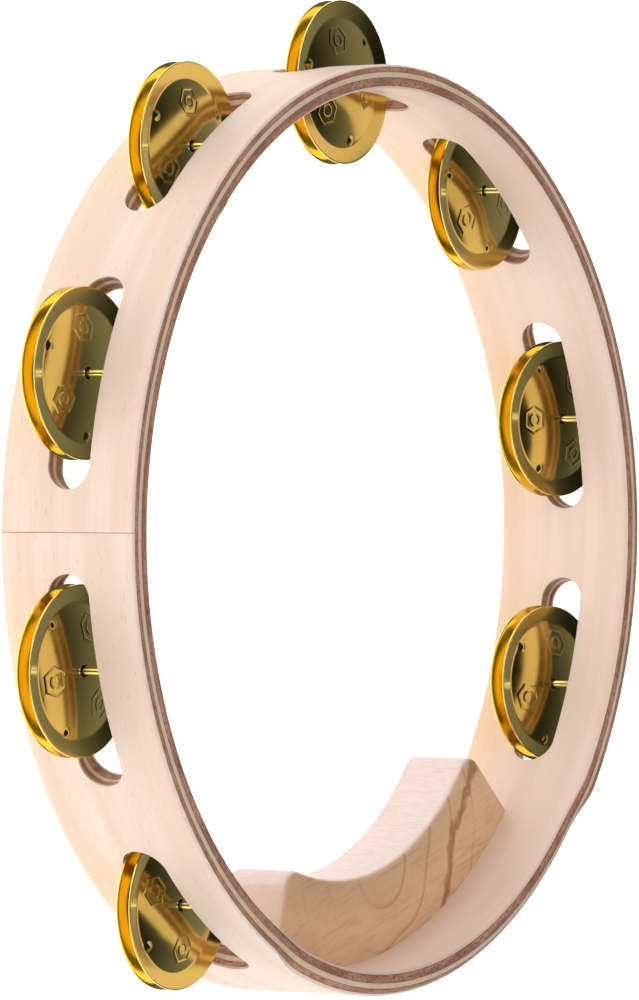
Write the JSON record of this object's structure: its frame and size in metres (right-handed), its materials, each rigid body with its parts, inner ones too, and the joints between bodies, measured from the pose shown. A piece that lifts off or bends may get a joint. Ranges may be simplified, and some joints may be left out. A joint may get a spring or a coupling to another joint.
{
  "type": "tambourine",
  "caption": "Open hand tambourine: a bent-plywood ring with a solid wooden grip glued inside it and pairs of loose brass jingles on steel pins in slots around the ring.",
  "frame": {"origin": "middle of the bounding box, on the back rim's plane; the ring's own axis is 6.75 mm towards -Y of it, because no jingle sits over the grip", "axes": "+Z along the ring's axis from its back rim to its front rim, -Y towards the grip, +X across"},
  "size_m": [0.2916, 0.2676, 0.0425],
  "materials": {
    "face_veneer": "satin clear-lacquered pale maple veneer",
    "cross_ply": "sanded end grain, sealed",
    "core_ply": "sanded, sealed",
    "grip_maple": "satin clear-lacquered solid maple",
    "pin_steel": "bright drawn wire",
    "jingle_brass": "polished"
  },
  "bodies": {
    "ring": {"outer_face_veneer": "face_veneer", "outer_cross_ply": "cross_ply", "core_ply": "core_ply", "inner_cross_ply": "cross_ply", "inner_face_veneer": "face_veneer", "grip": "grip_maple", "pin_1": "pin_steel", "pin_2": "pin_steel", "pin_3": "pin_steel", "pin_4": "pin_steel", "pin_5": "pin_steel", "pin_6": "pin_steel", "pin_7": "pin_steel", "pin_8": "pin_steel"},
    "jingle_1_front": {"jingle_1_front": "jingle_brass"},
    "jingle_1_back": {"jingle_1_back": "jingle_brass"},
    "jingle_2_front": {"jingle_2_front": "jingle_brass"},
    "jingle_2_back": {"jingle_2_back": "jingle_brass"},
    "jingle_3_front": {"jingle_3_front": "jingle_brass"},
    "jingle_3_back": {"jingle_3_back": "jingle_brass"},
    "jingle_4_front": {"jingle_4_front": "jingle_brass"},
    "jingle_4_back": {"jingle_4_back": "jingle_brass"},
    "jingle_5_front": {"jingle_5_front": "jingle_brass"},
    "jingle_5_back": {"jingle_5_back": "jingle_brass"},
    "jingle_6_front": {"jingle_6_front": "jingle_brass"},
    "jingle_6_back": {"jingle_6_back": "jingle_brass"},
    "jingle_7_front": {"jingle_7_front": "jingle_brass"},
    "jingle_7_back": {"jingle_7_back": "jingle_brass"},
    "jingle_8_front": {"jingle_8_front": "jingle_brass"},
    "jingle_8_back": {"jingle_8_back": "jingle_brass"}
  },
  "joints": [
    {"name": "jingle_1_front_slide", "type": "slide", "parent": "ring", "child": "jingle_1_front", "axis": [0, 0, 1], "range_m": [-0.0006, 0.006]},
    {"name": "jingle_1_back_slide", "type": "slide", "parent": "ring", "child": "jingle_1_back", "axis": [0, 0, 1], "range_m": [0, 0.0006]},
    {"name": "jingle_2_front_slide", "type": "slide", "parent": "ring", "child": "jingle_2_front", "axis": [0, 0, 1], "range_m": [-0.0006, 0.006]},
    {"name": "jingle_2_back_slide", "type": "slide", "parent": "ring", "child": "jingle_2_back", "axis": [0, 0, 1], "range_m": [0, 0.0006]},
    {"name": "jingle_3_front_slide", "type": "slide", "parent": "ring", "child": "jingle_3_front", "axis": [0, 0, 1], "range_m": [-0.0006, 0.006]},
    {"name": "jingle_3_back_slide", "type": "slide", "parent": "ring", "child": "jingle_3_back", "axis": [0, 0, 1], "range_m": [0, 0.0006]},
    {"name": "jingle_4_front_slide", "type": "slide", "parent": "ring", "child": "jingle_4_front", "axis": [0, 0, 1], "range_m": [-0.0006, 0.006]},
    {"name": "jingle_4_back_slide", "type": "slide", "parent": "ring", "child": "jingle_4_back", "axis": [0, 0, 1], "range_m": [0, 0.0006]},
    {"name": "jingle_5_front_slide", "type": "slide", "parent": "ring", "child": "jingle_5_front", "axis": [0, 0, 1], "range_m": [-0.0006, 0.006]},
    {"name": "jingle_5_back_slide", "type": "slide", "parent": "ring", "child": "jingle_5_back", "axis": [0, 0, 1], "range_m": [0, 0.0006]},
    {"name": "jingle_6_front_slide", "type": "slide", "parent": "ring", "child": "jingle_6_front", "axis": [0, 0, 1], "range_m": [-0.0006, 0.006]},
    {"name": "jingle_6_back_slide", "type": "slide", "parent": "ring", "child": "jingle_6_back", "axis": [0, 0, 1], "range_m": [0, 0.0006]},
    {"name": "jingle_7_front_slide", "type": "slide", "parent": "ring", "child": "jingle_7_front", "axis": [0, 0, 1], "range_m": [-0.0006, 0.0055]},
    {"name": "jingle_7_back_slide", "type": "slide", "parent": "ring", "child": "jingle_7_back", "axis": [0, 0, 1], "range_m": [0, 0.0006]},
    {"name": "jingle_8_front_slide", "type": "slide", "parent": "ring", "child": "jingle_8_front", "axis": [0, 0, 1], "range_m": [-0.0006, 0.0055]},
    {"name": "jingle_8_back_slide", "type": "slide", "parent": "ring", "child": "jingle_8_back", "axis": [0, 0, 1], "range_m": [0, 0.0006]}
  ]
}
